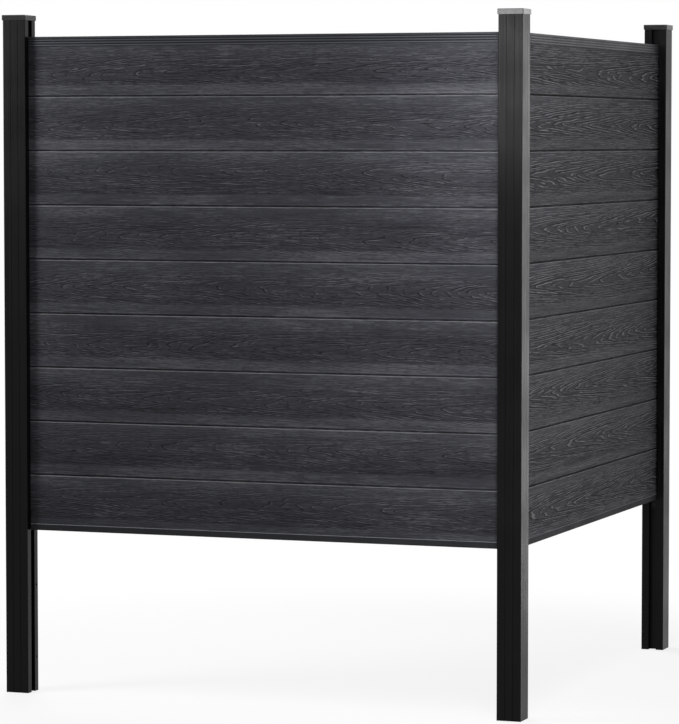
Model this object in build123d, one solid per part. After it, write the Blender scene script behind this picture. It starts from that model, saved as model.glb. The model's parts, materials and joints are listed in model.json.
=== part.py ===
"""Composite privacy fence: two boarded panels set in an L between three slotted aluminium posts.

Frame: +Z up, origin on the floor under the centre of the square that the L bounds.
The front panel faces -Y, the side panel faces +X, and the two meet at the corner post.
All sizes are in millimetres.
"""

import os

from build123d import *

# Post extrusion: a square tube with a slot in each side, cut to stand a rise above the panel
POST_SIZE = 60.0
POST_RISE = 50.5
POST_WALL = 2.0
POST_EDGE_RADIUS = 1.5
SLOT_SIDE_WALL = 2.7

# Panel: the clear opening between two posts, its height above the floor, and the gap left at each end
PANEL_CLEAR_WIDTH = 1220.0
PANEL_LIFT = 406.0
PANEL_END_GAP = 3.0

# Board: a hollow tongue-and-groove plank with a shadow gap at each joint
BOARD_COUNT = 9
BOARD_THICKNESS = 16.0
BOARD_FACE_HEIGHT = 130.5
BOARD_EDGE_BEVEL = 1.6
SHADOW_GAP = 3.0
TONGUE_HEIGHT = 8.0
TONGUE_THICKNESS = 5.0
TONGUE_CHAMFER = 1.0
TONGUE_PLAY = 0.3
CELL_COUNT = 5
CELL_WALL = 4.0
CELL_BEVEL = 2.0

# Rail extrusions: a channel for the board's edge, closed by a box; the top one has reeds along both flanges
TOP_RAIL_HEIGHT = 24.0
BOTTOM_RAIL_HEIGHT = 16.0
RAIL_WALL = 1.6
RAIL_BOX_HEIGHT = 3.3
RAIL_EDGE_RADIUS = 1.0
RAIL_LIP_CHAMFER = 1.1
BOARD_PLAY = 0.2
RAIL_PLAY = 0.5
REED_COUNT = 3
REED_FROM_LIP = 5.5
REED_PITCH = 6.2
REED_WIDTH = 2.4
REED_DEPTH = 1.0

# Cover strip that closes an unused slot
COVER_WALL = 1.5
COVER_LEG = 11.0
COVER_REBATE_WIDTH = 0.9
COVER_REBATE_DEPTH = 1.6

# Post cap
CAP_TOP = 3.0
CAP_SKIRT = 10.0
CAP_WALL = 1.75
CAP_CLEARANCE = 0.25
CAP_CHAMFER = 1.2
PLUG_LENGTH = 24.0
PLUG_PLAY = 0.3
PLUG_WALL = 2.0
PLUG_TIP_CHAMFER = 1.5

# Bracket under each end of a bottom rail, and its screw
BRACKET_SHEET = 2.0
BRACKET_HEIGHT = 24.0
BRACKET_SETBACK = 3.0
BRACKET_SIDE_PLAY = 1.3
BRACKET_BEND_RADIUS = 2.0
SCREW_FROM_LEDGE = 13.0
SCREW_DIAMETER = 4.0
SCREW_LENGTH = 12.0
SCREW_HEAD_FLATS = 7.0
SCREW_HEAD_HEIGHT = 2.8
SCREW_PLAY = 0.1

# Fixing holes in one lip of the left post, below the panel
LIP_HOLE_DIAMETER = 6.0
LIP_HOLE_COUNT = 2
LIP_HOLE_DROP = 140.0
LIP_HOLE_SPACING = 180.0

# Sizes that follow from the ones above
POST_SPACING = PANEL_CLEAR_WIDTH + POST_SIZE
RAIL_WIDTH = BOARD_THICKNESS + 2 * (BOARD_PLAY + RAIL_WALL)
SLOT_WIDTH = RAIL_WIDTH + 2 * RAIL_PLAY
SLOT_FLOOR = SLOT_WIDTH / 2 + SLOT_SIDE_WALL
SLOT_DEPTH = POST_SIZE / 2 - SLOT_FLOOR
CHAMBER_END = POST_SIZE / 2 - POST_WALL
CHAMBER_SIZE = CHAMBER_END - SLOT_FLOOR
CHAMBER_CENTRE = (SLOT_FLOOR + CHAMBER_END) / 2
BOARD_LENGTH = PANEL_CLEAR_WIDTH + 2 * (SLOT_DEPTH - PANEL_END_GAP)
BOARD_PITCH = BOARD_FACE_HEIGHT + SHADOW_GAP
GROOVE_DEPTH = TONGUE_HEIGHT - SHADOW_GAP
RAIL_SEAT = 2 * RAIL_WALL + RAIL_BOX_HEIGHT
FIRST_BOARD_Z = PANEL_LIFT + RAIL_SEAT
TOP_TONGUE_Z = FIRST_BOARD_Z + (BOARD_COUNT - 1) * BOARD_PITCH + BOARD_FACE_HEIGHT + TONGUE_HEIGHT
PANEL_TOP_Z = TOP_TONGUE_Z + RAIL_SEAT
POST_LENGTH = PANEL_TOP_Z + POST_RISE
SLOT_FLOOR_X = PANEL_CLEAR_WIDTH / 2 + SLOT_DEPTH
BRACKET_WIDTH = SLOT_WIDTH - 2 * BRACKET_SIDE_PLAY
BRACKET_REACH = SLOT_DEPTH - BRACKET_SETBACK
SCREW_Z = PANEL_LIFT - SCREW_FROM_LEDGE
LIP_HOLE_HEIGHTS = [PANEL_LIFT - LIP_HOLE_DROP - i * LIP_HOLE_SPACING for i in range(LIP_HOLE_COUNT)]
LIP_CENTRE = (SLOT_WIDTH / 2 + POST_SIZE / 2) / 2

# Where the pieces stand. A panel's own frame has x along its length and its front towards -y.
HALF = POST_SPACING / 2
PANELS = {"front": Pos(0, -HALF, 0), "side": Pos(HALF, 0, 0) * Rot(0, 0, 90)}
BRACKET_ENDS = {"near": 180, "far": 0}

# Each post: its place, the sides whose slots hold a panel, and the sides whose lip is drilled.
# Sides are angles about the post's axis, measured from +X.
SIDE_NAMES = {0: "right", 90: "rear", 180: "left", 270: "front"}
POSTS = {
    "left_post": {"at": Pos(-HALF, -HALF, 0), "panel_sides": [0], "drilled_sides": [0]},
    "corner_post": {"at": Pos(HALF, -HALF, 0), "panel_sides": [180, 90], "drilled_sides": []},
    "rear_post": {"at": Pos(HALF, HALF, 0), "panel_sides": [270], "drilled_sides": []},
}


def post_section():
    """Square outline, a slot in each side, a core chamber and a chamber in each corner."""
    section = RectangleRounded(POST_SIZE, POST_SIZE, POST_EDGE_RADIUS)
    core = 2 * (SLOT_FLOOR - POST_WALL)
    section -= Rectangle(core, core)
    slot = Pos(SLOT_FLOOR + SLOT_DEPTH / 2, 0) * Rectangle(SLOT_DEPTH, SLOT_WIDTH)
    chamber = Pos(CHAMBER_CENTRE, CHAMBER_CENTRE) * Rectangle(CHAMBER_SIZE, CHAMBER_SIZE)
    for side in SIDE_NAMES:
        section -= Rot(0, 0, side) * slot
        section -= Rot(0, 0, side) * chamber
    return section


def post(panel_sides, drilled_sides):
    """A length of the extrusion, drilled for the bracket screw and for the fixing holes in a lip."""
    body = extrude(post_section(), POST_LENGTH)
    pilot = Rot(0, 90, 0) * Cylinder(SCREW_DIAMETER / 2 + SCREW_PLAY, 2 * POST_WALL)
    for side in panel_sides:
        body -= Rot(0, 0, side) * Pos(SLOT_FLOOR - POST_WALL / 2, 0, SCREW_Z) * pilot
    lip_hole = Rot(0, 90, 0) * Cylinder(LIP_HOLE_DIAMETER / 2, 2 * POST_WALL)
    for side in drilled_sides:
        for height in LIP_HOLE_HEIGHTS:
            body -= Rot(0, 0, side) * Pos(CHAMBER_END + POST_WALL / 2, LIP_CENTRE, height) * lip_hole
    return body


def slot_cover():
    """U-shaped strip for the +X slot: legs against the slot's walls, face flush and rebated at both edges."""
    face_x = POST_SIZE / 2
    legs = Pos(face_x - COVER_LEG / 2, 0) * Rectangle(COVER_LEG, SLOT_WIDTH)
    hollow_depth = COVER_LEG - COVER_REBATE_DEPTH - COVER_WALL
    hollow_x = face_x - COVER_LEG + hollow_depth / 2
    section = legs - Pos(hollow_x, 0) * Rectangle(hollow_depth, SLOT_WIDTH - 2 * COVER_WALL)
    rebate_x = face_x - COVER_REBATE_DEPTH / 2
    rebate_y = (SLOT_WIDTH - COVER_REBATE_WIDTH) / 2
    for edge in (-1, 1):
        section -= Pos(rebate_x, edge * rebate_y) * Rectangle(COVER_REBATE_DEPTH, COVER_REBATE_WIDTH)
    return extrude(section, POST_LENGTH)


def post_cap():
    """Moulded cap: a chamfered top, a skirt round the post, and a hollow plug for each corner chamber."""
    outside = POST_SIZE + 2 * (CAP_CLEARANCE + CAP_WALL)
    inside = POST_SIZE + 2 * CAP_CLEARANCE
    height = CAP_TOP + CAP_SKIRT
    cap = Pos(0, 0, CAP_TOP - height / 2) * Box(outside, outside, height)
    cap = chamfer(cap.edges().group_by(Axis.Z)[-1], CAP_CHAMFER)
    cap = fillet(cap.edges().filter_by(Axis.Z), POST_EDGE_RADIUS + CAP_CLEARANCE)
    cap -= Pos(0, 0, -CAP_SKIRT / 2) * Box(inside, inside, CAP_SKIRT)
    plug_size = CHAMBER_SIZE - 2 * PLUG_PLAY
    plug = Pos(0, 0, -PLUG_LENGTH / 2) * Box(plug_size, plug_size, PLUG_LENGTH)
    plug = chamfer(plug.edges().group_by(Axis.Z)[0], PLUG_TIP_CHAMFER)
    bore = plug_size - 2 * PLUG_WALL
    plug -= Pos(0, 0, -PLUG_LENGTH / 2) * Box(bore, bore, PLUG_LENGTH)
    for side in SIDE_NAMES:
        cap += Rot(0, 0, side) * Pos(CHAMBER_CENTRE, CHAMBER_CENTRE, 0) * plug
    return Pos(0, 0, POST_LENGTH) * cap


def board_section():
    """Plank section with its lower edge at zero: bevelled faces, tongue above, groove below, cells inside."""
    plank = Rectangle(BOARD_THICKNESS, BOARD_FACE_HEIGHT, align=(Align.CENTER, Align.MIN))
    plank = chamfer(plank.vertices(), BOARD_EDGE_BEVEL)
    root = BOARD_FACE_HEIGHT - CELL_WALL / 2
    tongue_length = BOARD_FACE_HEIGHT + TONGUE_HEIGHT - root
    tongue = Rectangle(TONGUE_THICKNESS, tongue_length, align=(Align.CENTER, Align.MIN))
    tongue = chamfer(tongue.vertices().group_by(Axis.Y)[-1], TONGUE_CHAMFER)
    section = plank + Pos(0, root) * tongue
    groove = Rectangle(TONGUE_THICKNESS + 2 * TONGUE_PLAY, GROOVE_DEPTH, align=(Align.CENTER, Align.MIN))
    section -= groove
    cells_start = GROOVE_DEPTH + CELL_WALL
    cell_pitch = (BOARD_FACE_HEIGHT - cells_start) / CELL_COUNT
    cell_height = cell_pitch - CELL_WALL
    cell = Rectangle(BOARD_THICKNESS - 2 * CELL_WALL, cell_height)
    cell = chamfer(cell.vertices(), CELL_BEVEL)
    for i in range(CELL_COUNT):
        section -= Pos(0, cells_start + i * cell_pitch + cell_height / 2) * cell
    return section


def rail_section(rail_height, reed_count):
    """Channel section with its closed edge at zero and its lips upwards, and reeds counted from the lips."""
    outline = Rectangle(RAIL_WIDTH, rail_height, align=(Align.CENTER, Align.MIN))
    outline = fillet(outline.vertices().group_by(Axis.Y)[0], RAIL_EDGE_RADIUS)
    outline = chamfer(outline.vertices().group_by(Axis.Y)[-1], RAIL_LIP_CHAMFER)
    inner_width = RAIL_WIDTH - 2 * RAIL_WALL
    channel = Rectangle(inner_width, rail_height - RAIL_SEAT, align=(Align.CENTER, Align.MIN))
    box = Rectangle(inner_width, RAIL_BOX_HEIGHT, align=(Align.CENTER, Align.MIN))
    section = outline - Pos(0, RAIL_SEAT) * channel - Pos(0, RAIL_WALL) * box
    for edge in (-1, 1):
        face = edge * RAIL_WIDTH / 2
        for i in range(reed_count):
            height = rail_height - REED_FROM_LIP - i * REED_PITCH
            reed = make_face(
                Polyline(
                    (face, height - REED_WIDTH / 2),
                    (face - edge * REED_DEPTH, height),
                    (face, height + REED_WIDTH / 2),
                    close=True,
                )
            )
            section -= reed
    return section


def along_panel(section):
    """A (y, z) section carried along the panel's length, centred on its middle."""
    return extrude(Plane.YZ * section, BOARD_LENGTH / 2, both=True)


def bracket():
    """Bent sheet at the panel's +x end: a plate on the slot's floor and a ledge that carries the rail."""
    plate = Rectangle(BRACKET_SHEET, BRACKET_HEIGHT, align=(Align.MAX, Align.MAX))
    ledge = Rectangle(BRACKET_REACH, BRACKET_SHEET, align=(Align.MAX, Align.MAX))
    section = plate + ledge
    inner_corner = section.vertices().sort_by_distance((-BRACKET_SHEET, -BRACKET_SHEET))[0]
    section = fillet(inner_corner, BRACKET_BEND_RADIUS)
    outer_corner = section.vertices().sort_by_distance((0, 0))[0]
    section = fillet(outer_corner, BRACKET_BEND_RADIUS + BRACKET_SHEET)
    body = extrude(Plane.XZ * section, BRACKET_WIDTH / 2, both=True)
    body = Pos(SLOT_FLOOR_X, 0, PANEL_LIFT) * body
    hole = Rot(0, 90, 0) * Cylinder(SCREW_DIAMETER / 2 + SCREW_PLAY, 2 * BRACKET_SHEET)
    return body - Pos(SLOT_FLOOR_X - BRACKET_SHEET / 2, 0, SCREW_Z) * hole


def bracket_screw():
    """Hex-head screw through the bracket's plate into the post's core wall, at the panel's +x end."""
    seat_x = SLOT_FLOOR_X - BRACKET_SHEET
    shank = extrude(Circle(SCREW_DIAMETER / 2), SCREW_LENGTH)
    head = extrude(RegularPolygon(SCREW_HEAD_FLATS / 2, 6, major_radius=False), -SCREW_HEAD_HEIGHT)
    return Pos(seat_x, 0, SCREW_Z) * Rot(0, 90, 0) * (shank + head)


def post_parts():
    """Every post with its cap and the covers of its unused slots."""
    made = {}
    for name, spec in POSTS.items():
        made[name] = spec["at"] * post(spec["panel_sides"], spec["drilled_sides"])
        made[f"{name}_cap"] = spec["at"] * post_cap()
        for side, side_name in SIDE_NAMES.items():
            if side not in spec["panel_sides"]:
                made[f"{name}_{side_name}_cover"] = spec["at"] * Rot(0, 0, side) * slot_cover()
    return made


def panel_parts(name, at):
    """A panel's boards from the floor up, its two rails, and the bracket at each end."""
    made = {}
    board = along_panel(board_section())
    bottom_rail = along_panel(rail_section(BOTTOM_RAIL_HEIGHT, 0))
    top_rail = along_panel(rail_section(TOP_RAIL_HEIGHT, REED_COUNT))
    made[f"{name}_bottom_rail"] = at * Pos(0, 0, PANEL_LIFT) * bottom_rail
    for i in range(BOARD_COUNT):
        made[f"{name}_board_{i + 1}"] = at * Pos(0, 0, FIRST_BOARD_Z + i * BOARD_PITCH) * board
    made[f"{name}_top_rail"] = at * Pos(0, 0, PANEL_TOP_Z) * Rot(180, 0, 0) * top_rail
    for end, turn in BRACKET_ENDS.items():
        made[f"{name}_{end}_bracket"] = at * Rot(0, 0, turn) * bracket()
    return made


def screw_group():
    """All the bracket screws, as separate solids of one piece."""
    screw = bracket_screw()
    return Compound([at * Rot(0, 0, turn) * screw for at in PANELS.values() for turn in BRACKET_ENDS.values()])


parts = post_parts()
for panel_name, place in PANELS.items():
    parts.update(panel_parts(panel_name, place))
parts["bracket_screws"] = screw_group()

os.makedirs("parts", exist_ok=True)
for node, shape in parts.items():
    export_step(shape, f"parts/{node}.step")

print(f"{len(parts)} pieces, panel {PANEL_TOP_Z - PANEL_LIFT:.1f} high, post pitch {POST_SPACING:.1f}")
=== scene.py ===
# %% [markdown]
# A corner of composite fence, dressed for its portrait
#
# The object is an L-shaped privacy fence: two panels of nine grooved boards, held between slotted black
# posts. The CAD frame already has every solid in its true place and size, so nothing here is fitted by
# eye. What CAD leaves plain is what this lesson makes: boards with embossed grain, and a finish for every
# part.

import json
import math

import bpy
import numpy as np
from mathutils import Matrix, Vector
from mathutils.geometry import delaunay_2d_cdt


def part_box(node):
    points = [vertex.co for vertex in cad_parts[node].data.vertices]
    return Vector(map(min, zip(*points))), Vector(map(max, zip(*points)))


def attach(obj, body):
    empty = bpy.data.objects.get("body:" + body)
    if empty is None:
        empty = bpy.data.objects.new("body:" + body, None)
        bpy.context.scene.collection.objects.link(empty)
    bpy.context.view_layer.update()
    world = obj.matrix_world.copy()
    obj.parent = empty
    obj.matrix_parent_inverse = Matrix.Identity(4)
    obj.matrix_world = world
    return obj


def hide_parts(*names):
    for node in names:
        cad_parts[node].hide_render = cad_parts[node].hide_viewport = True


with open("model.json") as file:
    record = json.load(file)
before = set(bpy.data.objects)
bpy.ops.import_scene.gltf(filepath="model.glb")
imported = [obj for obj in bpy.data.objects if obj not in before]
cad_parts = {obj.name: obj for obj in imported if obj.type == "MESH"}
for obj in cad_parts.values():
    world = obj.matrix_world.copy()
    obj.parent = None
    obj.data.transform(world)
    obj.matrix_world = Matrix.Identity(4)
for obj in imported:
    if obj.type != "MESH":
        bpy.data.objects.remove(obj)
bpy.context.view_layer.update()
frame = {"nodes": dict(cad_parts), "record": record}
scene = bpy.context.scene

# %% [markdown]
# The camera
#
# The photograph was taken from far away with a long lens, so upright posts stay parallel and the side
# panel is only slightly smaller at its far end. A camera can be matched by trial, but measuring the
# corners of the posts and solving for place, turn and focal length at once is quicker, and that is where
# these numbers come from.

# %% Camera
CAMERA_PLACE = (3.19151, -8.7294, 1.37164)
CAMERA_PITCH = -0.06155
CAMERA_YAW = 0.35387
FOCAL_PIXELS = 3600.0
LONG_SIDE_PIXELS = 724.0
SENSOR_MM = 36.0

camera_data = bpy.data.cameras.new("camera")
camera_data.sensor_width = SENSOR_MM
camera_data.lens = FOCAL_PIXELS * SENSOR_MM / LONG_SIDE_PIXELS
camera = bpy.data.objects.new("camera", camera_data)
camera.location = CAMERA_PLACE
camera.rotation_euler = (math.pi / 2 + CAMERA_PITCH, 0.0, CAMERA_YAW)
scene.collection.objects.link(camera)
scene.camera = camera
scene.view_settings.view_transform = "Standard"
print("lens", round(camera_data.lens, 1), "mm")

# %% [markdown]
# A helper for node trees
#
# Every material below is a small graph of nodes. Making a node, setting it and wiring it takes three or
# four lines each time, so one helper does all of it: a socket that is passed in gets linked, a number
# gets set. Masks are mostly a value carried from one range to another, so that has a helper of its own.

# %% Node helpers
RISE = (0.0, 1.0)
FALL = (1.0, 0.0)


def node(tree, kind, inputs=None, **settings):
    """Adds a node of this kind. Settings are its properties; inputs gives a number or an output socket
    for each."""
    made = tree.nodes.new(kind)
    for key, value in settings.items():
        setattr(made, key, value)
    for key, value in (inputs or {}).items():
        if isinstance(value, bpy.types.NodeSocket):
            tree.links.new(value, made.inputs[key])
        else:
            made.inputs[key].default_value = value
    return made


def math_node(tree, operation, first, second=0.0, third=0.0):
    """Output of a Math node that applies the operation to up to three values or sockets."""
    return node(tree, "ShaderNodeMath", {0: first, 1: second, 2: third}, operation=operation).outputs[0]


def times(tree, first, second):
    """Output of a Math node that multiplies two values or sockets."""
    return math_node(tree, "MULTIPLY", first, second)


def remap(tree, value, old, new):
    """Carries a value from one range to another along a smooth S-curve, and holds it at both ends."""
    made = node(
        tree,
        "ShaderNodeMapRange",
        {"Value": value, "From Min": old[0], "From Max": old[1], "To Min": new[0], "To Max": new[1]},
        interpolation_type="SMOOTHSTEP",
    )
    return made.outputs["Result"]


print("a mask rises over", RISE, "or falls over", FALL)

# %% [markdown]
# The white surround
#
# The photograph is cut out on white. A white world lit at full strength would flood dark boards with
# light, so the Light Path node tells rays apart: rays that look, straight or in a reflection, see white,
# while rays that carry light get a dimmer sky.

# %% World
SKY_STRENGTH = 0.2
WHITE = (1.0, 1.0, 1.0, 1.0)


def looking_ray(tree):
    """1 for camera, glossy and transmission rays, and 0 for rays that only carry light."""
    path = node(tree, "ShaderNodeLightPath")
    direct = math_node(tree, "MAXIMUM", path.outputs["Is Camera Ray"], path.outputs["Is Glossy Ray"])
    return math_node(tree, "MAXIMUM", direct, path.outputs["Is Transmission Ray"])


world = bpy.data.worlds.new("studio")
world.use_nodes = True
tree = world.node_tree
tree.nodes.clear()
sky = node(tree, "ShaderNodeBackground", {"Color": WHITE, "Strength": SKY_STRENGTH})
backdrop = node(tree, "ShaderNodeBackground", {"Color": WHITE, "Strength": 1.0})
sky_mix = node(tree, "ShaderNodeMixShader", {0: looking_ray(tree), 1: sky.outputs[0], 2: backdrop.outputs[0]})
node(tree, "ShaderNodeOutputWorld", {"Surface": sky_mix.outputs[0]})
scene.world = world
print("sky strength for rays that carry light:", SKY_STRENGTH)

# %% [markdown]
# The floor
#
# A fence stands on something, and a shadow under the legs says so. The floor is one large square. Seen by
# the camera it is nearly white and keeps a small share of its real shading, so that only a soft shadow is
# left, and that share fades out with distance. Rays that carry light meet a grey floor, or it would light
# the boards from below.

# %% Floor
FLOOR_SIZE = 40.0
FLOOR_COLOUR = (0.26, 0.26, 0.26, 1.0)
FLOOR_SEEN_COLOUR = (0.95, 0.95, 0.95, 1.0)
FLOOR_WHITENESS = (0.8, 1.0)
FLOOR_FADE = (0.9, 1.9)

floor_mesh = bpy.data.meshes.new("floor")
corners = np.array([(-1, -1, 0), (1, -1, 0), (1, 1, 0), (-1, 1, 0)]) * FLOOR_SIZE / 2
floor_mesh.from_pydata(corners.tolist(), [], [(0, 1, 2, 3)])
floor = bpy.data.objects.new("floor", floor_mesh)
scene.collection.objects.link(floor)

floor_material = bpy.data.materials.new("pale_floor")
floor_material.use_nodes = True
tree = floor_material.node_tree
tree.nodes.clear()
at = node(tree, "ShaderNodeTexCoord").outputs["Object"]
distance = node(tree, "ShaderNodeVectorMath", {0: at}, operation="LENGTH").outputs["Value"]
whiteness = remap(tree, distance, FLOOR_FADE, FLOOR_WHITENESS)
plain = node(tree, "ShaderNodeBsdfDiffuse", {"Color": FLOOR_COLOUR})
pale = node(tree, "ShaderNodeBsdfDiffuse", {"Color": FLOOR_SEEN_COLOUR})
glow = node(tree, "ShaderNodeEmission", {"Color": WHITE, "Strength": 1.0})
seen = node(tree, "ShaderNodeMixShader", {0: whiteness, 1: pale.outputs[0], 2: glow.outputs[0]})
floor_mix = node(tree, "ShaderNodeMixShader", {0: looking_ray(tree), 1: plain.outputs[0], 2: seen.outputs[0]})
node(tree, "ShaderNodeOutputMaterial", {"Surface": floor_mix.outputs[0]})
floor_mesh.materials.append(floor_material)
print("floor:", FLOOR_SIZE, "metres square")

# %% [markdown]
# The lamps
#
# Dark boards show their grain only when light rakes over them, and dark posts show their form only in
# what they reflect. Two tall strips and two soft boxes light the boards. A glint lamp and a rim strip are
# there for the corner post: each has a grid, which narrows its beam, so that it shines in the post and
# adds less to the boards than an open lamp would. A large lamp behind lights the inside of the corner.

# %% Lamps
OPEN_BEAM = 180.0
GLINT_BEAM = 60.0
RIM_BEAM = 44.0


def softbox(name, place, aim, size, power, spread=OPEN_BEAM):
    """A rectangular area lamp that faces the point aim, with a grid that narrows its beam to spread
    degrees; the camera doesn't see it, surfaces reflect it."""
    data = bpy.data.lights.new(name, "AREA")
    data.shape = "RECTANGLE"
    data.size, data.size_y = size
    data.energy = power
    data.spread = math.radians(spread)
    lamp = bpy.data.objects.new(name, data)
    lamp.location = place
    lamp.rotation_euler = (Vector(aim) - Vector(place)).to_track_quat("-Z", "Y").to_euler()
    lamp.visible_camera = False
    scene.collection.objects.link(lamp)
    return lamp


lamps = [
    softbox("corner_strip", place=(0.92, -1.4, 1.1), aim=(0.55, -0.62, 0.85), size=(0.35, 2.1), power=11.0),
    softbox("left_strip", place=(-1.34, -1.35, 1.8), aim=(-0.6, -0.64, 1.1), size=(0.4, 1.3), power=15.0),
    softbox("top_lamp", place=(0.8, -1.05, 2.75), aim=(0.55, -0.6, 1.1), size=(0.6, 0.6), power=6.5),
    softbox("side_lamp", place=(1.05, -0.3, 2.7), aim=(0.65, -0.3, 1.2), size=(0.6, 0.7), power=4.0),
    softbox("glint_lamp", (0.38, -1.5, 1.6), (0.64, -0.67, 1.56), (0.14, 0.5), 0.42, spread=GLINT_BEAM),
    softbox("rim_strip", (1.21, 1.29, 0.9), (0.67, -0.64, 0.9), (0.2, 2.2), 0.26, spread=RIM_BEAM),
    softbox("back_lamp", place=(-1.4, 1.4, 2.3), aim=(0.3, -0.3, 0.9), size=(1.2, 1.2), power=45.0),
]
print("lamps:", ", ".join(lamp.name for lamp in lamps))

# %% [markdown]
# What embossed grain is
#
# These boards are pressed between rollers that carry the figure of a flat-sawn plank: growth rings cut at
# a low angle, which show as long nested arches with straight grain at both edges. A picture of wood would
# stay flat when the light moves. So the figure is a function here: each point gets a ring number, and
# once in every ring there is a shallow groove. Real rings are never quite regular, and smooth noise is
# what makes them wander.

# %% Smooth noise
LATTICE = 256


def s_curve(t):
    """3t2 - 2t3: leaves 0 and reaches 1 without a kink."""
    return t * t * (3.0 - 2.0 * t)


def smooth_noise(u, v, seed):
    """Value noise from -1 to 1: random heights on whole numbers, blended between the nearest four by an
    S-curve."""
    table = np.random.default_rng(seed).uniform(-1.0, 1.0, (LATTICE, LATTICE))
    u, v = np.broadcast_arrays(u, v)
    cell_u = np.floor(u).astype(int)
    cell_v = np.floor(v).astype(int)
    t_u = s_curve(u - cell_u)
    t_v = s_curve(v - cell_v)

    def corner(du, dv):
        return table[(cell_u + du) % LATTICE, (cell_v + dv) % LATTICE]

    low = corner(0, 0) * (1.0 - t_u) + corner(1, 0) * t_u
    high = corner(0, 1) * (1.0 - t_u) + corner(1, 1) * t_u
    return low * (1.0 - t_v) + high * t_v


print("noise at one point:", round(float(smooth_noise(0.3, 0.7, seed=1)), 3))

# %% [markdown]
# The size of a board
#
# The CAD frame gives the box of every node, so the length, thickness and height of a board are measured
# there and not typed again. Only the tongue, which hides in the board above, has to be taken off to get
# the face that shows.

# %% Size of a board
TONGUE_HEIGHT = 0.008

board_low, board_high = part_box("front_board_1")
board_length = board_high.x - board_low.x
board_half = (board_high.y - board_low.y) / 2
face_height = board_high.z - board_low.z - TONGUE_HEIGHT
half_face = face_height / 2
print("board in metres:", round(board_length, 4), "long,", round(face_height, 4), "high")

# %% [markdown]
# Rings on a face
#
# Along the heart of a flat-sawn plank the saw meets one ring after another, and each shows as the tip of
# an arch. Away from the heart the same rings run nearly straight. One sum gives both: a number that grows
# along the board and falls towards its edges. Nested curves could be drawn one by one, but then nothing
# would keep them from crossing, while the level lines of one function never cross.

# %% Ring numbers
FLANK_RINGS = 9.0
FLANK_POWER = 1.7
HEART_SPREAD = 0.014
HEART_WANDER = 0.012
HEART_LENGTH = 0.28
ARCH_PITCH = (0.085, 0.13)
ARCH_SWAY = 0.9
ARCH_SWAY_LENGTH = 0.37
WANDER = ((0.5, 0.16, 0.02), (0.22, 0.05, 0.008), (0.1, 0.03, 0.006))
HEART_SEED = 1
WANDER_SEED = 2
ARCH_SEED = 6
ONE_ROW = 0.5


def ring_number(along, across, seed):
    """Ring number over a board's face: it counts up along the board, which sets the arches one after
    another; it falls with a power of the distance from the heart line, which draws their arms; and noise
    makes it wander."""
    rng = np.random.default_rng(seed)
    heart = half_face + rng.uniform(-HEART_SPREAD, HEART_SPREAD)
    heart = heart + HEART_WANDER * smooth_noise(along / HEART_LENGTH, ONE_ROW, seed + HEART_SEED)
    flank = FLANK_RINGS * (np.abs(across - heart) / half_face) ** FLANK_POWER
    arch = along / rng.uniform(*ARCH_PITCH) + rng.uniform()
    arch = arch + ARCH_SWAY * smooth_noise(along / ARCH_SWAY_LENGTH, ONE_ROW, seed + ARCH_SEED)
    wander = sum(
        size * smooth_noise(along / long, across / wide, seed + WANDER_SEED + step)
        for step, (size, long, wide) in enumerate(WANDER)
    )
    return arch - flank + wander


sample = ring_number(np.array([0.0, board_length / 2]), half_face, seed=1)
print("rings along half a board:", round(float(np.ptp(sample)), 1))

# %% [markdown]
# How close the rings lie
#
# A groove has the same width wherever it runs, but a ring number says nothing about metres. The slope of
# the ring number does: it is the number of rings met in a metre. A distance in rings, divided by that, is
# a distance in metres, and both the mesh and the material use it to draw lines of a set width.

# %% Ring rate
RATE_STEP = 0.0005
ALONG_WEIGHT = 3.0


def ring_rate(along, across, seed):
    """Rings met in a metre, from central differences of the ring number along and across. A line's
    distance in rings divided by this is metres. The along part counts more, so lines that cross the board
    come out broader."""
    def slope(du, dv):
        ahead = ring_number(along + du, across + dv, seed)
        behind = ring_number(along - du, across - dv, seed)
        return (ahead - behind) / (2.0 * RATE_STEP)

    return np.hypot(ALONG_WEIGHT * slope(RATE_STEP, 0.0), slope(0.0, RATE_STEP))


print("rings in a metre near an edge:", round(float(ring_rate(0.0, half_face / 4, seed=1))))

# %% [markdown]
# Grooves
#
# The roller cuts deepest on the middle of a groove and not at all beside it, like a bell curve. It skips
# here and there, as worn grain does, and it leaves both edges of the face smooth. Each of these is a
# factor from 0 to 1, and their product says how deep the press went at any point.

# %% Groove mask
GROOVE_AT = 0.5
GROOVE_WIDTH = 0.0014
LEVEL_RATE = (9.0, 24.0)
DASH_BASE = 0.6
DASH_SWING = 1.1
DASH_LENGTH = 0.045
DASH_WIDTH = 0.005
DASH_SEED = 7
SMOOTH_EDGE = (0.008, 0.028)


def fade(value, start, end):
    """0 before start, 1 after end, and an S-curve between."""
    return s_curve(np.clip((value - start) / (end - start), 0.0, 1.0))


def groove_mask(along, across, rings, rate, seed):
    """How deep the press cut, from 0 to 1: a bell curve of even width at each half ring, gone where the
    rings lie level, broken into dashes by noise and faded out along both edges of the face, where the
    press leaves it smooth."""
    bell = np.exp(-(((rings % 1.0) - GROOVE_AT) / (rate * GROOVE_WIDTH)) ** 2)
    bell = bell * fade(rate, *LEVEL_RATE)
    breaks = smooth_noise(along / DASH_LENGTH, across / DASH_WIDTH, seed + DASH_SEED)
    dash = np.clip(DASH_BASE + DASH_SWING * breaks, 0.0, 1.0)
    inside = fade(np.minimum(across, face_height - across), *SMOOTH_EDGE)
    return bell * dash * inside


print("grooves fade out over", SMOOTH_EDGE, "metres from an edge")

# %% [markdown]
# The section of a board
#
# A composite board is extruded, so its section is the same all along: two broad faces with bevelled
# edges, a tongue on top, a groove below, and five cells inside. A Solidify or Displace modifier would not
# know the tongue from the face. Carrying the section along the board as one grid of points does: the
# whole board is an array of stations by section points, and only the points of the two faces are pressed
# inwards.

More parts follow.
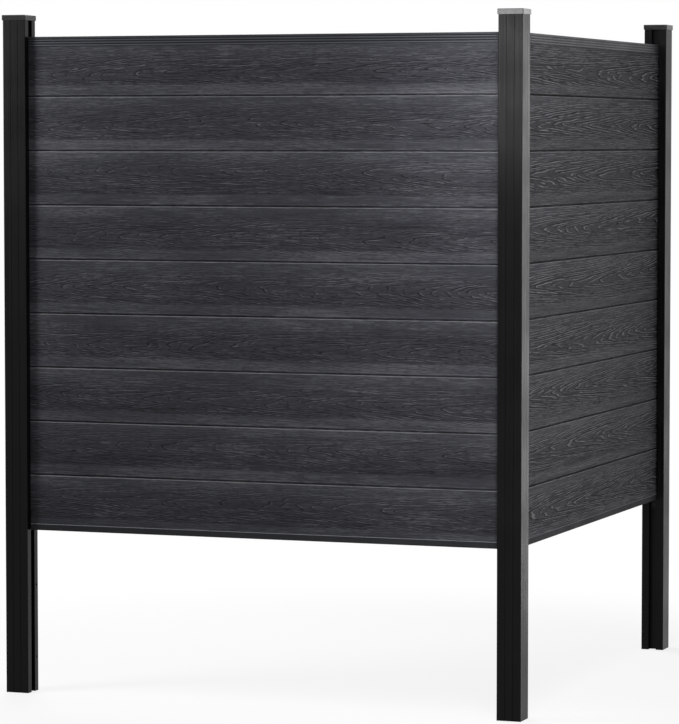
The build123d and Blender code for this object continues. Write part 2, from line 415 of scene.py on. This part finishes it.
# %% Board outline
BEVEL = 0.0016
TONGUE_HALF = 0.0025
TONGUE_CHAMFER = 0.001
JOINT_HALF = 0.0028
JOINT_CUT = 0.005
FACE_ROWS = 96


def board_outline():
    """Section of a board as a closed loop of (depth, height) points: up one face, over the tongue, down
    the other face and back through the groove."""
    rows = np.linspace(BEVEL, face_height - BEVEL, FACE_ROWS + 1)
    near = np.stack([np.full_like(rows, -board_half), rows], axis=1)
    tip = face_height + TONGUE_HEIGHT
    half_top = [
        (-board_half + BEVEL, face_height),
        (-TONGUE_HALF, face_height),
        (-TONGUE_HALF, tip - TONGUE_CHAMFER),
        (-TONGUE_HALF + TONGUE_CHAMFER, tip),
    ]
    half_foot = [(JOINT_HALF, JOINT_CUT), (JOINT_HALF, 0.0), (board_half - BEVEL, 0.0)]
    top = np.array(half_top)
    foot = np.array(half_foot)[::-1]
    mirror = np.array([-1.0, 1.0])
    return np.concatenate([near, top, top[::-1] * mirror, near[::-1] * mirror, foot, foot[::-1] * mirror])


outline = board_outline()
section_count = len(outline)
on_face = np.abs(outline[:, 0]) > board_half - BEVEL / 2
print("section points:", section_count, "of which on the two faces:", int(on_face.sum()))

# %% [markdown]
# Hollow cells
#
# The board is hollow to save weight. Its cells run from end to end, five rectangles with clipped corners,
# one above another between the two faces. All five come from one octagon, moved up by a whole number of
# pitches.

# %% Hollow cells
CELL_COUNT = 5
CELL_WALL = 0.004
CELL_BEVEL = 0.002

cells_low = JOINT_CUT + CELL_WALL
cells_high = face_height - CELL_WALL
cell_pitch = (cells_high - cells_low + CELL_WALL) / CELL_COUNT
cell_half = np.array([board_half - CELL_WALL, (cell_pitch - CELL_WALL) / 2])
octagon = np.array([(1, -1), (1, 1), (1, 1), (-1, 1), (-1, 1), (-1, -1), (-1, -1), (1, -1)])
clip = np.array([(0, 1), (0, -1), (-1, 0), (1, 0), (0, -1), (0, 1), (1, 0), (-1, 0)]) * CELL_BEVEL
cell_centres = cells_low + (cell_pitch - CELL_WALL) / 2 + cell_pitch * np.arange(CELL_COUNT)
cells = octagon * cell_half + clip + np.stack([0 * cell_centres, cell_centres], axis=1)[:, None, :]
cell_points = len(octagon)
cell_total = CELL_COUNT * cell_points
print("cell pitch in metres:", round(cell_pitch, 4))

# %% [markdown]
# The sawn ends
#
# At a sawn end the wall between the outline and the cells shows. That is a flat shape with five holes,
# which no grid fits, so a constrained fill covers it with triangles: it joins the given points and keeps
# the given edges.

# %% End caps
INSIDE_WITH_HOLES = 2
CAP_TOLERANCE = 1e-7


def loop_edges(start, count):
    """Pairs of neighbours round a closed loop of points."""
    ring = np.arange(count)
    return np.stack([start + ring, start + (ring + 1) % count], axis=1)


end_points = np.concatenate([outline, cells.reshape(-1, 2)])
end_edges = np.concatenate(
    [loop_edges(0, section_count)]
    + [loop_edges(section_count + k * cell_points, cell_points) for k in range(CELL_COUNT)]
)
filled = delaunay_2d_cdt(
    [Vector(p) for p in end_points.tolist()], end_edges.tolist(), [], INSIDE_WITH_HOLES, CAP_TOLERANCE
)
_, _, cap_faces, cap_sources, *_ = filled
cap = np.array([[cap_sources[i][0] for i in face] for face in cap_faces])
print("end cap:", len(cap), "triangles round", CELL_COUNT, "cells")

# %% [markdown]
# Faces of a board
#
# All eighteen boards have the same faces, only their points differ. So the faces are listed once: the
# quads of the outer grid, the walls of the cells, and a cap at each end, turned to face outwards.

# %% Board faces
STATIONS = 117


def grid_quads(rows, columns):
    """Quads of a grid of points, rows by columns, whose last column joins the first."""
    i = np.arange(rows - 1)[:, None]
    j = np.arange(columns)[None, :]
    k = (j + 1) % columns
    quad = np.stack([i * columns + j, (i + 1) * columns + j, (i + 1) * columns + k, i * columns + k], axis=-1)
    return quad.reshape(-1, 4)


cell_start = STATIONS * section_count
quads = [grid_quads(STATIONS, section_count)]
for k in range(CELL_COUNT):
    first, after = loop_edges(cell_start + k * cell_points, cell_points).T
    quads.append(np.stack([first, first + cell_total, after + cell_total, after], axis=1))
quads = np.concatenate(quads)
section = np.arange(section_count)
tube_ends = cell_start + np.arange(cell_total)
first_end = np.concatenate([section, tube_ends])
last_end = np.concatenate([(STATIONS - 1) * section_count + section, tube_ends + cell_total])
board_faces = quads.tolist() + first_end[cap[:, ::-1]].tolist() + last_end[cap].tolist()
print("faces of one board:", len(board_faces))

# %% [markdown]
# The figure of one board
#
# Both faces of a board are pressed, each with a figure of its own, and no two boards are alike: the seed
# sees to that. On the side panel the figure is longer and pressed deeper. Stretch scales the place at
# which the figure is read, so a small one draws it out, and a minus sign turns its arches round. Force
# scales its depth. A slow swell keeps the smooth parts from looking machined.

# %% Press of one board
MM_PER_METRE = 1000.0
GROOVE_DEPTH = 0.0005
SWELL_DEPTH = 0.00012
SWELL_LENGTH = 0.22
SWELL_WIDTH = 0.03
SWELL_SEED = 9
BACK_SEED = 20
END_FADE = 0.012

stations = np.linspace(-board_length / 2, board_length / 2, STATIONS)[:, None]
across = np.clip(outline[None, :, 1], 0.0, face_height)
end_fade = fade(board_length / 2 - np.abs(stations), 0.0, END_FADE)
near = np.broadcast_to(outline[None, :, 0] < 0.0, (STATIONS, section_count))


def face_figure(along, force, seed):
    """Ring numbers, ring rates and press in metres over one face: groove depth times force, plus a slow
    swell."""
    rings = ring_number(along, across, seed)
    rates = ring_rate(along, across, seed)
    grooves = groove_mask(along, across, rings, rates, seed)
    swell = (1.0 + smooth_noise(along / SWELL_LENGTH, across / SWELL_WIDTH, seed + SWELL_SEED)) / 2.0
    return np.stack([rings, rates, GROOVE_DEPTH * force * grooves + SWELL_DEPTH * swell])


def board_figure(along, force, seed):
    """The figure of the near face on points that lie nearer, and that of the back face on all others."""
    return np.where(near, face_figure(along, force, seed), face_figure(along, force, seed + BACK_SEED))


sample = board_figure(stations, 1.0, seed=1)
print("deepest press at a force of 1, in mm:", round(float(sample[2].max()) * MM_PER_METRE, 2))

# %% [markdown]
# The boards
#
# Each board takes the place of its CAD solid. Its points are the section at every station, pushed in by
# the press, and its cells. The mesh also carries what the material needs: where a point lies in the
# figure, its ring number and rate, and the force of the press.

# %% Board builder
SMOOTH_ANGLE = math.radians(50.0)


def store(mesh, label, kind, field, values):
    """Adds a named attribute with one value for each point."""
    stored = mesh.attributes.new(label, kind, "POINT")
    stored.data.foreach_set(field, values.astype(np.float32).ravel())


def pressed_board(name, panel, stretch, force, seed):
    """One board as a mesh: the section at every station, its face points pushed in by the press, with
    cells, end caps and the attributes that its material reads."""
    low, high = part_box(name)
    rings, rates, press = board_figure(stations * stretch, force, seed)
    depth = outline[None, :, 0] - np.sign(outline[None, :, 0]) * press * end_fade * on_face
    body = np.stack(np.broadcast_arrays(stations, depth, outline[None, :, 1]), axis=-1).reshape(-1, 3)
    tubes = np.concatenate([np.insert(cells.reshape(-1, 2), 0, end, axis=1) for end in stations[[0, -1], 0]])
    along, deep, up = np.concatenate([body, tubes]).T
    middle = (low + high) / 2
    if panel == "front":
        points = np.stack([middle.x + along, middle.y + deep, low.z + up], axis=1)
    else:
        points = np.stack([middle.x + deep, middle.y - along, low.z + up], axis=1)
    mesh = bpy.data.meshes.new(name + "_pressed")
    mesh.from_pydata(points.tolist(), [], board_faces)
    mesh.polygons.foreach_set("use_smooth", np.ones(len(mesh.polygons), dtype=bool))
    mesh.set_sharp_from_angle(angle=SMOOTH_ANGLE)
    spare = np.ones(len(tubes))
    grain_at = np.stack([along * stretch, up, seed + np.sign(deep)], axis=1)
    store(mesh, "grain_at", "FLOAT_VECTOR", "vector", grain_at)
    store(mesh, "ring_number", "FLOAT", "value", np.concatenate([rings.ravel(), spare]))
    store(mesh, "ring_rate", "FLOAT", "value", np.concatenate([rates.ravel(), spare]))
    store(mesh, "press", "FLOAT", "value", np.concatenate([np.full(len(body), force), spare]))
    board = bpy.data.objects.new(name + "_pressed", mesh)
    scene.collection.objects.link(board)
    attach(board, "root")
    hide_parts(name)
    return board


print("points in one board:", STATIONS * section_count + 2 * cell_total)

# %% [markdown]
# Two panels of nine
#
# A fence is filled by sliding board after board into the posts, tongue into groove. Copies of one mesh
# would be lighter, but the eye soon finds a figure that repeats, so every board is pressed with a seed of
# its own. Only stretch and force are the same for a whole panel.

# %% Build the eighteen boards
BOARD_COUNT = 9
SEED_STEP = 40
FIRST_SEED = {"front": 1000, "side": 5000}
FIGURE_STRETCH = {"front": 1.0, "side": -0.42}
PRESS_FORCE = {"front": 0.8, "side": 2.8}

boards = [
    pressed_board(
        f"{panel}_board_{number}",
        panel,
        stretch=FIGURE_STRETCH[panel],
        force=PRESS_FORCE[panel],
        seed=FIRST_SEED[panel] + number * SEED_STEP,
    )
    for panel in ("front", "side")
    for number in range(1, BOARD_COUNT + 1)
]
print("boards:", len(boards), "triangles in each:", sum(len(p.vertices) - 2 for p in boards[0].data.polygons))

# %% [markdown]
# Shared effects as node groups
#
# Three things happen on more than one material here. Sprayed and moulded surfaces have a fine speckle and
# a colour that wanders a little, every outdoor surface that faces up gathers some dust, and the rails get
# painted shade and painted highlights along their lips. Each is a node group: it gives out masks and
# heights only, and the material that uses it decides what to do with them. A group gets its values from
# the material through named sockets.

# %% Speckle group
SPECKLE_DETAIL = 3.0
MOTTLE_SCALE = 9.0
DRAWN = (340.0, 340.0, 2.5)
DRAWN_DETAIL = 2.0
WANDER_SHARE = 0.5


def new_group(name, inputs, outputs):
    """An empty shader group with float sockets of these names; returns its tree, input node and output
    node."""
    group = bpy.data.node_groups.new(name, "ShaderNodeTree")
    for label in inputs:
        group.interface.new_socket(name=label, in_out="INPUT", socket_type="NodeSocketFloat")
    for label in outputs:
        group.interface.new_socket(name=label, in_out="OUTPUT", socket_type="NodeSocketFloat")
    return group, group.nodes.new("NodeGroupInput"), group.nodes.new("NodeGroupOutput")


def noise(tree, place, scale, detail):
    """Noise at a place, with a scale that is the same every way."""
    return node(tree, "ShaderNodeTexNoise", {"Vector": place, "Scale": scale, "Detail": detail}).outputs[0]


def stretched_noise(tree, place, scale, detail):
    """Noise at a place whose three coordinates are first multiplied by a scale each."""
    scaled = node(tree, "ShaderNodeVectorMath", {0: place, 1: scale}, operation="MULTIPLY").outputs["Vector"]
    return noise(tree, scaled, 1.0, detail)


speckle_group, group_in, group_out = new_group("speckle", ["Scale"], ["Height", "Wander"])
at = node(speckle_group, "ShaderNodeTexCoord").outputs["Object"]
grit = noise(speckle_group, at, group_in.outputs["Scale"], SPECKLE_DETAIL)
mottle = noise(speckle_group, at, MOTTLE_SCALE, SPECKLE_DETAIL)
drawn_lines = stretched_noise(speckle_group, at, DRAWN, DRAWN_DETAIL)
wander = times(speckle_group, math_node(speckle_group, "ADD", mottle, drawn_lines), WANDER_SHARE)
speckle_group.links.new(grit, group_out.inputs["Height"])
speckle_group.links.new(wander, group_out.inputs["Wander"])
print("speckle group:", len(speckle_group.nodes), "nodes")

# %% [markdown]
# Dust
#
# Rain and wind leave dust on what faces up, such as the tops of caps and rails. It could be painted on by
# hand, but the upward part of the normal already says where it would settle, and noise makes it patchy.
# How much of it there is, and its colour, is left to each material.

# %% Dust group
DUST_SCALE = 38.0
DUST_DETAIL = 4.0
DUST_SLOPE = (0.15, 0.95)
DUST_CLOUD = (0.35, 0.7)
DUST_PATCHES = (0.3, 1.0)

dust_group, group_in, group_out = new_group("dust", ["Amount"], ["Mask"])
at = node(dust_group, "ShaderNodeTexCoord").outputs["Object"]
normal = node(dust_group, "ShaderNodeNewGeometry").outputs["Normal"]
up = node(dust_group, "ShaderNodeSeparateXYZ", {0: normal}).outputs["Z"]
settled = remap(dust_group, up, DUST_SLOPE, RISE)
patchy = remap(dust_group, noise(dust_group, at, DUST_SCALE, DUST_DETAIL), DUST_CLOUD, DUST_PATCHES)
mask = times(dust_group, times(dust_group, settled, patchy), group_in.outputs["Amount"])
dust_group.links.new(mask, group_out.inputs["Mask"])
print("dust group:", len(dust_group.nodes), "nodes")

# %% [markdown]
# Painted shade and highlights along the rails
#
# The top rail has three reeds, which are real grooves in its CAD solid. Painted shade darkens them and the
# band along its lip, and a painted highlight lightens the flat beside each reed. The bottom rail is plain,
# with a painted highlight along its lip. Both are a matter of the distance from the lip, so one group works
# it out, and a rail whose lip faces the other way turns it round with Side.

# %% Reed group for the rails
REED_COUNT = 3
REED_PITCH = 0.0062
REED_FROM_LIP = 0.0055
REED_HALF = (0.0005, 0.0014)
LIT_FLAT = (0.0012, 0.0020)
LIP_BAND = (0.0006, 0.0018)

reed_group, group_in, group_out = new_group("reeds", ["Lip", "Side"], ["Groove", "Flat", "Rim"])
at = node(reed_group, "ShaderNodeTexCoord").outputs["Object"]
level = node(reed_group, "ShaderNodeSeparateXYZ", {0: at}).outputs["Z"]
drop = math_node(reed_group, "SUBTRACT", group_in.outputs["Lip"], level)
inward = times(reed_group, drop, group_in.outputs["Side"])
past_first = math_node(reed_group, "SUBTRACT", inward, REED_FROM_LIP)
number = math_node(reed_group, "ROUND", math_node(reed_group, "DIVIDE", past_first, REED_PITCH))
number = math_node(reed_group, "MINIMUM", math_node(reed_group, "MAXIMUM", number, 0.0), REED_COUNT - 1.0)
offset = math_node(reed_group, "SUBTRACT", past_first, times(reed_group, number, REED_PITCH))
away = math_node(reed_group, "ABSOLUTE", offset)
before = times(reed_group, offset, -1.0)
# Masks for painted shade in the reeds, painted highlights on the flats, and a band along the lip.
reed_group.links.new(remap(reed_group, away, REED_HALF, FALL), group_out.inputs["Groove"])
reed_group.links.new(remap(reed_group, before, LIT_FLAT, RISE), group_out.inputs["Flat"])
reed_group.links.new(remap(reed_group, inward, LIP_BAND, FALL), group_out.inputs["Rim"])
print("groups:", [group.name for group in bpy.data.node_groups])

# %% [markdown]
# Colours and materials
#
# Colours are easiest to read off as 0 to 255 values, but nodes work in linear light, so a helper turns
# one into the other. The other helpers start a material, place a group in it, and mix or ramp colours.

# %% Material helpers
PICTURE_WHITE = 255.0
TOE_END = 0.04045
TOE_SLOPE = 12.92
CURVE_LIFT = 0.055
CURVE_POWER = 2.4
MIX_FACTOR = 0
MIX_FIRST = 6
MIX_SECOND = 7
MIX_RESULT = 2


def linear(red, green, blue):
    """Colour for a node from 0 to 255 values as a picture stores them: a straight toe, then a power
    curve."""
    share = np.array([red, green, blue]) / PICTURE_WHITE
    curve = ((share + CURVE_LIFT) / (1.0 + CURVE_LIFT)) ** CURVE_POWER
    return (*np.where(share <= TOE_END, share / TOE_SLOPE, curve).tolist(), 1.0)


def new_material(name):
    """A material with an empty tree; returns both."""
    made = bpy.data.materials.new(name)
    made.use_nodes = True
    made.node_tree.nodes.clear()
    return made, made.node_tree


def use_group(tree, group, **values):
    """Puts a group into a tree and sets its inputs by name."""
    return node(tree, "ShaderNodeGroup", values, node_tree=group)


def ramp(tree, factor, stops):
    """Colour ramp through (position, colour) stops."""
    made = node(tree, "ShaderNodeValToRGB", {0: factor})
    while len(made.color_ramp.elements) < len(stops):
        made.color_ramp.elements.new(1.0)
    for element, (position, colour) in zip(made.color_ramp.elements, stops):
        element.position = position
        element.color = colour
    return made.outputs["Color"]


def blend_colour(tree, factor, first, second):
    """Mixes two colours by a factor."""
    sockets = {MIX_FACTOR: factor, MIX_FIRST: first, MIX_SECOND: second}
    return node(tree, "ShaderNodeMix", sockets, data_type="RGBA").outputs[MIX_RESULT]


print("a picture's middle grey is", round(linear(128, 128, 128)[0], 3), "in linear light")

# %% [markdown]
# What the board's colour follows
#
# Wood-plastic is one colour right through, and pigment streaks run along each board. The grooves and
# hair lines of the grain are painted darker, which is painted shade, and the ridges and threads beside
# them get painted highlights. A band along both edges is plainer and lighter, and the middle of the board
# is darker and more figured. An image of grain would be quicker, but it could not follow the pressed
# grooves. So the masks are worked out at the place that the mesh carries for every point: noise stretched
# along the board, and the height on the face.

# %% Board streaks and edges
STREAK = (9.0, 230.0, 3.7)
STREAK_DETAIL = 3.0
STRAND = (34.0, 340.0, 5.3)
STRAND_DETAIL = 1.0
FIBRE = (55.0, 680.0, 3.7)
FIBRE_DETAIL = 2.0
CLOUDS = (3.0, 16.0, 3.7)
CLOUD_DETAIL = 2.0
PORES = (60.0, 430.0, 9.1)
PORE_DETAIL = 1.0
PORE_BREAK = (0.54, 0.66)
PLAIN_LOW = (0.0215, 0.031)
PLAIN_HIGH = (0.066, 0.128)
PLAIN_FADE = 0.62
NOISE_MIDDLE = 0.5

board_material, tree = new_material("charcoal_board")
place = node(tree, "ShaderNodeAttribute", attribute_name="grain_at").outputs["Vector"]
height = node(tree, "ShaderNodeSeparateXYZ", {0: place}).outputs["Y"]
low_edge = remap(tree, height, PLAIN_LOW, FALL)
high_edge = remap(tree, height, PLAIN_HIGH, RISE)
edges = math_node(tree, "MAXIMUM", low_edge, high_edge)
inner = math_node(tree, "MULTIPLY_ADD", edges, -PLAIN_FADE, 1.0)


def inner_noise(scale, detail):
    """Stretched noise about zero, weaker in the plain bands along the edges."""
    raw = stretched_noise(tree, place, scale, detail)
    return times(tree, math_node(tree, "SUBTRACT", raw, NOISE_MIDDLE), inner)


streak = inner_noise(STREAK, STREAK_DETAIL)
strand = inner_noise(STRAND, STRAND_DETAIL)
fibre = stretched_noise(tree, place, FIBRE, FIBRE_DETAIL)
clouds = stretched_noise(tree, place, CLOUDS, CLOUD_DETAIL)
pores = times(tree, remap(tree, stretched_noise(tree, place, PORES, PORE_DETAIL), PORE_BREAK, RISE), inner)
print("streaks, strands, fibres, clouds and pores:", len(tree.nodes), "nodes so far")

# %% [markdown]
# Lines that follow the rings
#
# The mesh is too coarse for every fine line, so the shader draws more of them from the ring number and
# ring rate that the mesh carries. Beside each groove stands a ridge, and between two grooves runs a hair
# line with a thread of its own. Grooves and hair lines get painted shade, and ridges and threads get
# painted highlights. All are broken into dashes, and they are broader and stronger where the force of the
# press is greater. It counts twice on the painted highlights.

# %% Board grain lines
DASHES = (24.0, 230.0, 3.7)
DASH_DETAIL = 2.0
LINE_BREAK = (0.4, 0.52)
BROADER = (0.32, 0.68)
HALF_A_RING = 0.5
RIDGE_ASIDE = 0.0018
THREAD_ASIDE = 0.0015
GROOVE_REACH = 0.0016
RIDGE_REACH = 0.0014
HAIR_REACH = 0.0012
THREAD_REACH = 0.0012

rings = node(tree, "ShaderNodeAttribute", attribute_name="ring_number").outputs["Fac"]
rate = node(tree, "ShaderNodeAttribute", attribute_name="ring_rate").outputs["Fac"]
force = node(tree, "ShaderNodeAttribute", attribute_name="press").outputs["Fac"]
dashes = remap(tree, stretched_noise(tree, place, DASHES, DASH_DETAIL), LINE_BREAK, RISE)
sloping = remap(tree, rate, LEVEL_RATE, RISE)
broad = math_node(tree, "MULTIPLY_ADD", force, *BROADER)
figured = times(tree, times(tree, times(tree, dashes, inner), force), sloping)


def ring_line(shift, aside, reach):
    """A line in every ring, shifted by a part of a ring and set aside by metres: full on its middle, gone
    at its reach, broken into dashes."""
    part = math_node(tree, "FRACT", math_node(tree, "ADD", rings, shift))
    metres = math_node(tree, "DIVIDE", math_node(tree, "SUBTRACT", part, GROOVE_AT), rate)
    away = math_node(tree, "ABSOLUTE", math_node(tree, "SUBTRACT", metres, aside))
    return times(tree, remap(tree, away, (0.0, times(tree, broad, reach)), FALL), figured)


grooves = ring_line(0.0, 0.0, GROOVE_REACH)
ridges = ring_line(0.0, RIDGE_ASIDE, RIDGE_REACH)
hairs = ring_line(HALF_A_RING, 0.0, HAIR_REACH)
threads = ring_line(HALF_A_RING, THREAD_ASIDE, THREAD_REACH)
# Painted highlights on the ridges and threads, weighted by the force once more.
painted_ridge_highlights = times(tree, ridges, force)
painted_thread_highlights = times(tree, threads, force)
dark_pores = times(tree, pores, force)
print("grooves, ridges, hairs and threads:", len(tree.nodes), "nodes so far")

# %% [markdown]
# The seams
#
# Where two boards meet there is a dark line, with a lit edge above and below. The bevels are in the mesh,
# but at this distance they are narrower than a pixel, so a little paint on them helps: painted shade in the
# joint and at the foot of a board, and a painted highlight on the bevels on both sides of it. The force of
# the press counts twice at the foot of a board, so that on the side panel the dark line is broader.

# %% Board seams
SEAM_HEIGHT = (0.1302, 0.1306)
DARK_FOOT = (0.0012, 0.0022)
LIT_BEVEL = (0.1280, 0.1290)
LIT_FOOT = (0.0036, 0.0052)

# Painted shade in the joint and at the very foot of a board, and painted highlights on the bevels next to
# them.
painted_seam_shade = times(tree, remap(tree, height, SEAM_HEIGHT, RISE), force)
painted_foot_shade = times(tree, times(tree, remap(tree, height, DARK_FOOT, FALL), force), force)
painted_bevel_highlight = times(tree, remap(tree, height, LIT_BEVEL, RISE), broad)
painted_foot_highlight = times(tree, remap(tree, height, LIT_FOOT, FALL), broad)
print("seams are dark above", SEAM_HEIGHT[0], "and below", DARK_FOOT[1], "metres on a board")

# %% [markdown]
# The board material
#
# All masks are weighed into one tone, and a ramp turns the tone into a colour, from the painted shade of a
# groove to the painted highlight of a ridge. One ramp keeps every mark in the same family of colours. The
# same lines, with other weights, are the height of a bump, for relief that is finer than the mesh.

# %% Board material
BOARD_STOPS = (
    (0.0, linear(22, 22, 24)),
    (0.3, linear(44, 44, 48)),
    (0.55, linear(62, 63, 68)),
    (1.0, linear(144, 145, 150)),
)
TONE_BASE = 0.37
# In the tone, grooves, hairs and the seam are painted shade, and ridges, threads and bevels are painted
# highlights.
TONE_PARTS = (
    (streak, 0.4), (strand, 0.32), (clouds, 0.25), (edges, 0.1),
    (grooves, -0.42), (painted_ridge_highlights, 0.24), (hairs, -0.34), (painted_thread_highlights, 0.18), (dark_pores, -0.2),
    (painted_bevel_highlight, 0.215), (painted_foot_highlight, 0.065), (painted_seam_shade, -0.25), (painted_foot_shade, -0.08),
)
BROWN_TINT = linear(66, 60, 63)
TINT_CLOUDS = (0.5, 0.75)
TINT_SHARE = (0.0, 0.12)
BOARD_DUST = linear(120, 119, 116)
BOARD_DUST_AMOUNT = 0.3
RELIEF_PARTS = ((fibre, 0.4), (grooves, -1.0), (ridges, 0.8), (hairs, -0.6), (threads, 0.5), (pores, -0.5))
RELIEF_DEPTH = 0.0006
FIBRE_RANGE = (0.3, 0.7)
BOARD_ROUGHNESS = (0.55, 0.7)
BOARD_SPECULAR = 0.07


def weighted(parts, base):
    """Sum of sockets times weights, on top of a base value."""
    total = base
    for part, weight in parts:
        total = math_node(tree, "MULTIPLY_ADD", part, weight, total)
    return total


colour = ramp(tree, weighted(TONE_PARTS, TONE_BASE), BOARD_STOPS)
colour = blend_colour(tree, remap(tree, clouds, TINT_CLOUDS, TINT_SHARE), colour, BROWN_TINT)
dust = use_group(tree, dust_group, Amount=BOARD_DUST_AMOUNT)
colour = blend_colour(tree, dust.outputs["Mask"], colour, BOARD_DUST)
relief = weighted(RELIEF_PARTS, 0.0)
bump = node(tree, "ShaderNodeBump", {"Strength": 1.0, "Distance": RELIEF_DEPTH, "Height": relief})
surface = node(
    tree,
    "ShaderNodeBsdfPrincipled",
    {
        "Base Color": colour,
        "Roughness": remap(tree, fibre, FIBRE_RANGE, BOARD_ROUGHNESS),
        "Specular IOR Level": BOARD_SPECULAR,
        "Normal": bump.outputs["Normal"],
    },
)
node(tree, "ShaderNodeOutputMaterial", {"Surface": surface.outputs[0]})
for board in boards:
    board.data.materials.append(board_material)
print("board material:", len(tree.nodes), "nodes, on", len(boards), "boards")

# %% [markdown]
# Coated metal, moulded caps and blackened screws
#
# Posts, covers, rails and brackets are extruded or bent aluminium under powder coat: nearly black or
# charcoal, satin, with a finely pebbled skin. Caps are moulded, so they are smoother and shine a little
# more. Screws are blackened steel. Each could be a material of its own, but all are one idea with other
# colours and numbers, so one function makes them from the shared groups.

# %% Coated surface
GREY_DUST = linear(112, 111, 108)
WANDER_RANGE = (0.36, 0.64)
COAT_BUMP = 0.35


def coated(name, colours, roughness, grit, depth, specular, dust_amount, metallic=0.0, lip=None, painted_light=()):
    """A speckled surface: colour wanders between two colours, roughness between two values, grit is bump.
    On a rail, lip gives the height of its lip and the way it faces, and the last argument gives the colours
    of painted shade and painted highlight that the grooves, flats and rim take."""
    made, tree = new_material(name)
    speckle = use_group(tree, speckle_group, Scale=grit)
    dust = use_group(tree, dust_group, Amount=dust_amount)
    wander = speckle.outputs["Wander"]
    colour = ramp(tree, wander, list(zip(WANDER_RANGE, colours)))
    colour = blend_colour(tree, dust.outputs["Mask"], colour, GREY_DUST)
    if lip is not None:
        reeds = use_group(tree, reed_group, Lip=lip[0], Side=lip[1])
        # Painted shade and painted highlights from the reed masks.
        for output, painted_colour in painted_light:
            colour = blend_colour(tree, reeds.outputs[output], colour, painted_colour)
    bump_inputs = {"Strength": COAT_BUMP, "Distance": depth, "Height": speckle.outputs["Height"]}
    bump = node(tree, "ShaderNodeBump", bump_inputs)
    surface = node(
        tree,
        "ShaderNodeBsdfPrincipled",
        {
            "Base Color": colour,
            "Roughness": remap(tree, wander, WANDER_RANGE, roughness),
            "Metallic": metallic,
            "Specular IOR Level": specular,
            "Normal": bump.outputs["Normal"],
        },
    )
    node(tree, "ShaderNodeOutputMaterial", {"Surface": surface.outputs[0]})
    return made


print("dust on coats, in linear light:", [round(value, 3) for value in GREY_DUST[:3]])

# %% [markdown]
# Six finishes
#
# Posts, brackets and caps are black, rails are charcoal, and screws are a blackened steel that still
# reflects like metal. The bottom rails get a slightly darker and duller copy of the rail coat, which is
# painted shade. On posts, rails and caps the values were set by comparing renders with the photograph.
# Brackets and screws are hidden in the slots, so theirs are usual ones.

# %% Finishes
# Painted shade for the reeds and the top rail's lip, painted highlights for the flats and the bottom rail's
# lip.
PAINTED_REED_SHADE = linear(24, 24, 26)
PAINTED_FLAT_HIGHLIGHT = linear(76, 78, 84)
PAINTED_LIP_HIGHLIGHT = linear(122, 124, 130)
LIP_DOWN = (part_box("front_top_rail")[0].z, -1.0)
LIP_UP = (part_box("front_bottom_rail")[1].z, 1.0)
TOP_RAIL_PAINTED_LIGHT = (("Groove", PAINTED_REED_SHADE), ("Flat", PAINTED_FLAT_HIGHLIGHT), ("Rim", PAINTED_REED_SHADE))
BOTTOM_RAIL_PAINTED_LIGHT = (("Rim", PAINTED_LIP_HIGHLIGHT),)

finishes = {
    "posts": coated(
        "black_post_coat", colours=(linear(5, 5, 6), linear(10, 10, 11)), roughness=(0.27, 0.38),
        grit=900.0, depth=0.00015, specular=0.1, dust_amount=0.2,
    ),
    "rails": coated(
        "charcoal_rail_coat", colours=(linear(48, 50, 54), linear(58, 60, 65)), roughness=(0.4, 0.52),
        grit=1100.0, depth=0.0002, specular=0.12, dust_amount=0.3, lip=LIP_DOWN, painted_light=TOP_RAIL_PAINTED_LIGHT,
    ),
    # A slightly darker, duller copy of the rail coat: painted shade on the bottom rails.
    "shaded_bottom_rails": coated(
        "shaded_rail_coat", colours=(linear(46, 47, 50), linear(56, 57, 60)), roughness=(0.5, 0.62),
        grit=1100.0, depth=0.0002, specular=0.03, dust_amount=0.3, lip=LIP_UP, painted_light=BOTTOM_RAIL_PAINTED_LIGHT,
    ),
    "caps": coated(
        "cap_plastic", colours=(linear(9, 9, 10), linear(14, 14, 15)), roughness=(0.17, 0.23),
        grit=1500.0, depth=0.0001, specular=0.3, dust_amount=0.3,
    ),
    "brackets": coated(
        "bracket_coat", colours=(linear(12, 12, 14), linear(18, 18, 20)), roughness=(0.35, 0.5),
        grit=1000.0, depth=0.0002, specular=0.15, dust_amount=0.2,
    ),
    "screws": coated(
        "black_oxide", colours=(linear(26, 26, 28), linear(38, 38, 40)), roughness=(0.32, 0.45),
        grit=1800.0, depth=0.0001, specular=0.3, dust_amount=0.1, metallic=0.6,
    ),
}
print("finishes:", ", ".join(finishes))

# %% [markdown]
# Which part gets which finish
#
# The record that comes with the frame names a material slot for every node, so no list is kept here. Only
# the two bottom rails differ from their slot: they take the darker, duller copy of the rail coat, which is
# painted shade, with a painted highlight along their lip.

# %% Put the finishes on
slot_of = {part["node"]: part["material_slot"] for part in frame["record"]["subparts"]}
dressed = 0
for name, shown in frame["nodes"].items():
    # Bottom rails take the copy of the rail coat that carries painted shade.
    finish = finishes.get("shaded_bottom_rails" if "bottom_rail" in name else slot_of[name])
    if finish is None:
        continue
    for holder in shown.material_slots:
        holder.material = finish
    dressed += 1
print("CAD parts with a finish:", dressed)
